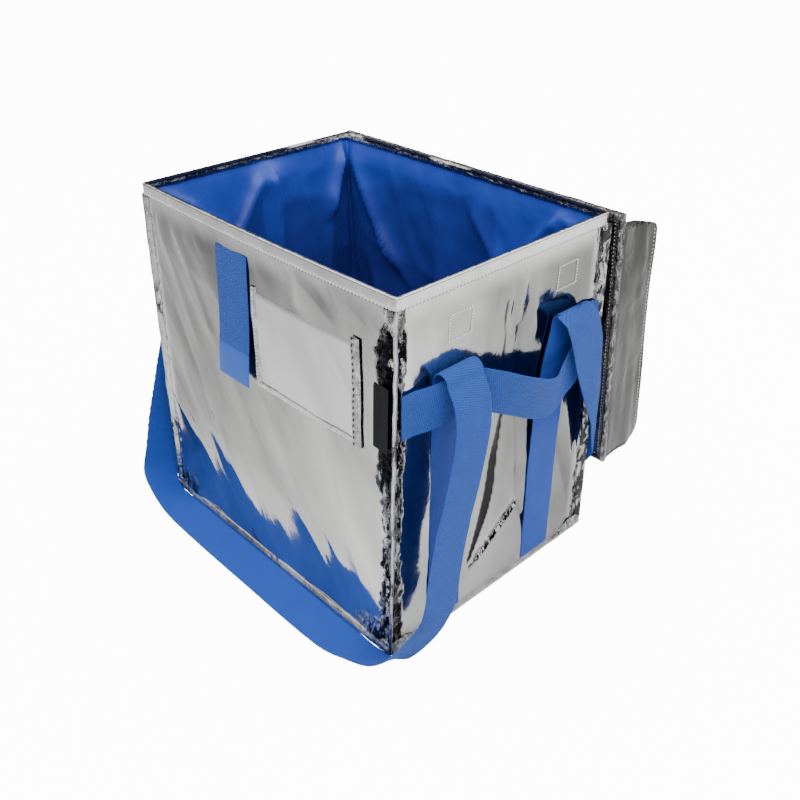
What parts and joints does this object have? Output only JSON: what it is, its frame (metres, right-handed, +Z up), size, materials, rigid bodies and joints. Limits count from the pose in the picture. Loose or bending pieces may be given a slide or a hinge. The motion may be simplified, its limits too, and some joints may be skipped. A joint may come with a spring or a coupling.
{
  "type": "insulated delivery tote",
  "caption": "Open-topped foil-faced insulated tote with a blue liner, a lid folded open behind it, webbing carry straps and grab handles.",
  "frame": {"origin": "middle of the flat base, on the floor it stands on", "axes": "+X to the right along the front with the pocket, +Y towards the hinged lid behind, +Z up"},
  "size_m": [0.4551, 0.4355, 0.3823],
  "materials": {
    "silver_foil": "wrinkled metallised film, semi-gloss",
    "white_foam": "closed-cell foam, matt",
    "blue_liner": "thin smooth film, satin",
    "silver_binding": "folded metallised tape, semi-gloss",
    "blue_webbing": "woven, slight sheen",
    "dark_label": "woven tape, matt"
  },
  "bodies": {
    "tote": {"front_skin": "silver_foil", "back_skin": "silver_foil", "right_skin": "silver_foil", "left_skin": "silver_foil", "base_skin": "silver_foil", "pocket_sheet": "silver_foil", "closure_square_right_front": "silver_foil", "closure_square_right_back": "silver_foil", "closure_square_left_front": "silver_foil", "closure_square_left_back": "silver_foil", "front_foam": "white_foam", "back_foam": "white_foam", "right_foam_front": "white_foam", "right_foam_back": "white_foam", "left_foam_front": "white_foam", "left_foam_back": "white_foam", "base_foam": "white_foam", "liner": "blue_liner", "rim_binding": "silver_binding", "base_binding": "silver_binding", "corner_seam_front_right": "silver_binding", "corner_seam_front_left": "silver_binding", "corner_seam_back_right": "silver_binding", "corner_seam_back_left": "silver_binding", "pocket_binding": "silver_binding", "lid_hinge_tape": "silver_binding", "front_strap_end_right": "blue_webbing", "front_strap_end_left": "blue_webbing", "back_strap_end_right": "blue_webbing", "back_strap_end_left": "blue_webbing", "side_label": "dark_label"},
    "lid": {"lid_liner": "blue_liner", "lid_foam": "white_foam", "lid_skin": "silver_foil", "lid_binding": "silver_binding"},
    "wing_right": {"lid_wing_right_liner": "blue_liner", "lid_wing_right_foam": "white_foam", "lid_wing_right_skin": "silver_foil"},
    "wing_left": {"lid_wing_left_liner": "blue_liner", "lid_wing_left_foam": "white_foam", "lid_wing_left_skin": "silver_foil"},
    "closure_strap": {"closure_strap": "blue_webbing"},
    "front_strap": {"front_strap": "blue_webbing"},
    "back_strap": {"back_strap": "blue_webbing"},
    "grab_handle_right": {"grab_handle_right": "blue_webbing"},
    "grab_handle_left": {"grab_handle_left": "blue_webbing"}
  },
  "joints": [
    {"name": "lid_hinge", "type": "hinge", "parent": "tote", "child": "lid", "pos_m": [0, 0.1528, 0.3826], "axis": [1, 0, 0], "range_deg": [0, 265.2]},
    {"name": "wing_right_fold", "type": "hinge", "parent": "lid", "child": "wing_right", "pos_m": [0.2016, 0.15255, 0.37957], "axis": [0, 0.0836, -0.9965], "range_deg": [0, 15]},
    {"name": "wing_left_fold", "type": "hinge", "parent": "lid", "child": "wing_left", "pos_m": [-0.2016, 0.15255, 0.37957], "axis": [0, -0.0836, 0.9965], "range_deg": [0, 15]},
    {"name": "closure_strap_swing", "type": "hinge", "parent": "tote", "child": "closure_strap", "pos_m": [-0.031, -0.14073, 0.357], "axis": [1, 0, 0], "range_deg": [-150, 0]},
    {"name": "front_strap_swing", "type": "hinge", "parent": "tote", "child": "front_strap", "pos_m": [0, -0.077, 0.292], "axis": [1, 0, 0], "range_deg": [-145, 0]},
    {"name": "back_strap_swing", "type": "hinge", "parent": "tote", "child": "back_strap", "pos_m": [0, 0.084, 0.292], "axis": [1, 0, 0], "range_deg": [0, 2.5]},
    {"name": "grab_handle_right_lift", "type": "hinge", "parent": "tote", "child": "grab_handle_right", "pos_m": [0.1923, 0, 0.292], "axis": [0, 1, 0], "range_deg": [-7, 0]},
    {"name": "grab_handle_left_lift", "type": "hinge", "parent": "tote", "child": "grab_handle_left", "pos_m": [-0.1923, 0, 0.292], "axis": [0, 1, 0], "range_deg": [0, 7]}
  ]
}
